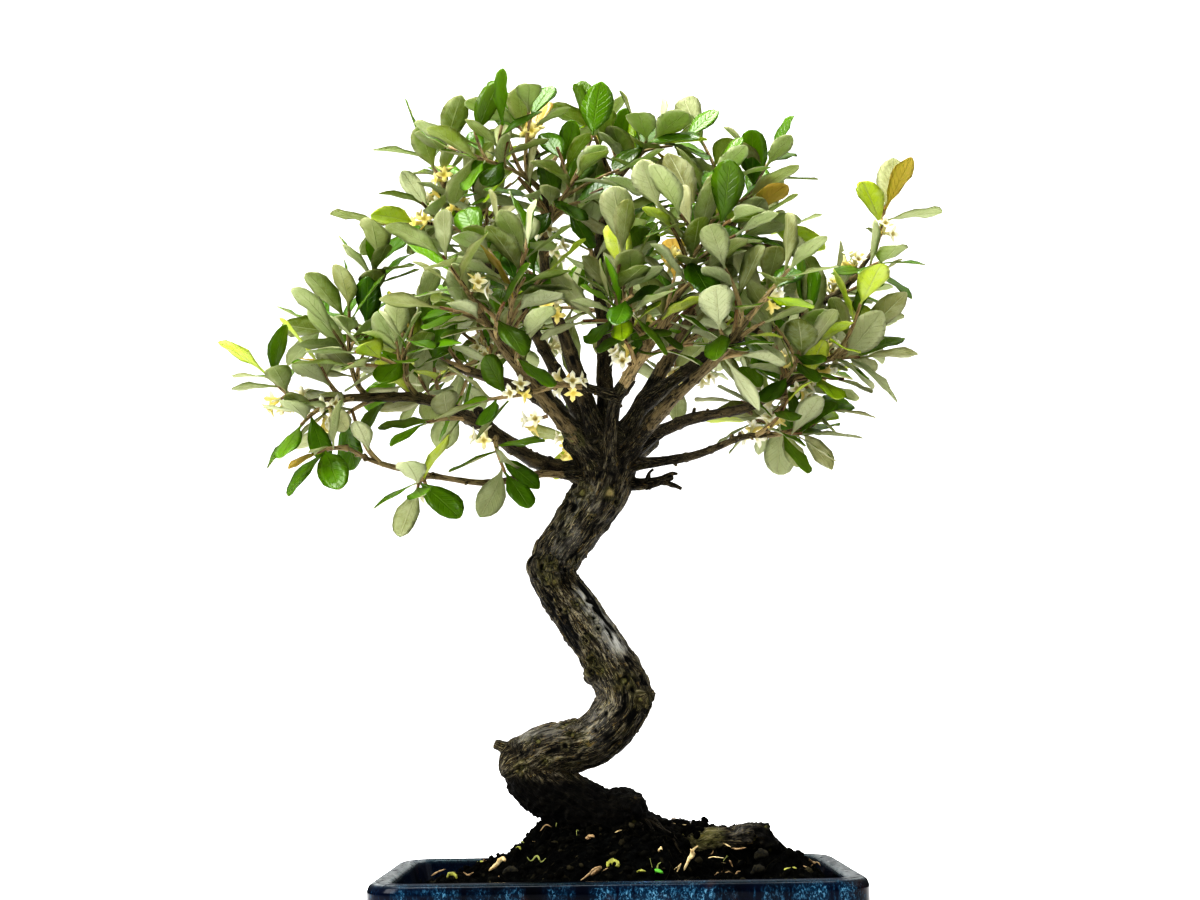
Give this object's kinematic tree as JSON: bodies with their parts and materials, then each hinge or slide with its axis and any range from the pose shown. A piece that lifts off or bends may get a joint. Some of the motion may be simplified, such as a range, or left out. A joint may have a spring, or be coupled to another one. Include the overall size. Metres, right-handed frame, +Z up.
{
  "type": "silverberry bonsai",
  "caption": "Potted silverberry bonsai: an S-curved trunk with surface roots, a rounded leafy crown with small cream flowers, in a glazed rectangular tray pot.",
  "frame": {"origin": "on the surface that the pot stands on, under the middle of the whole plant's bounding box", "axes": "+X along the pot's long side, +Y from the front of the tree to its back, +Z up"},
  "size_m": [0.3664, 0.2838, 0.4757],
  "materials": {
    "glaze": "glossy dark blue drip glaze with pale blue mottles",
    "soil": "rough damp potting soil",
    "bark": "rough fissured grey-brown bark",
    "leaf": "waxy green above, silvery scales below",
    "petal": "matt cream"
  },
  "bodies": {
    "root": {"pot": "glaze", "soil": "soil", "wood": "bark", "flowers_01": "petal", "flowers_02": "petal", "flowers_03": "petal", "flowers_04": "petal", "flowers_05": "petal", "flowers_06": "petal", "flowers_07": "petal", "flowers_08": "petal", "flowers_09": "petal", "flowers_10": "petal", "flowers_11": "petal", "flowers_12": "petal", "flowers_13": "petal", "flowers_14": "petal", "spray_01": "leaf", "spray_02": "leaf", "spray_03": "leaf", "spray_04": "leaf", "spray_05": "leaf", "spray_06": "leaf", "spray_07": "leaf", "spray_08": "leaf", "spray_09": "leaf", "spray_10": "leaf", "spray_11": "leaf", "spray_12": "leaf", "spray_13": "leaf", "spray_14": "leaf", "spray_15": "leaf", "spray_16": "leaf", "spray_17": "leaf", "spray_18": "leaf", "spray_19": "leaf", "spray_20": "leaf", "spray_21": "leaf", "spray_22": "leaf", "spray_23": "leaf", "spray_24": "leaf", "spray_25": "leaf", "spray_26": "leaf", "spray_27": "leaf", "spray_28": "leaf", "spray_29": "leaf", "spray_30": "leaf", "spray_31": "leaf", "spray_32": "leaf", "spray_33": "leaf", "spray_34": "leaf", "spray_35": "leaf", "spray_36": "leaf", "spray_37": "leaf", "spray_38": "leaf", "spray_39": "leaf", "spray_40": "leaf", "spray_41": "leaf", "spray_42": "leaf"}
  },
  "joints": []
}
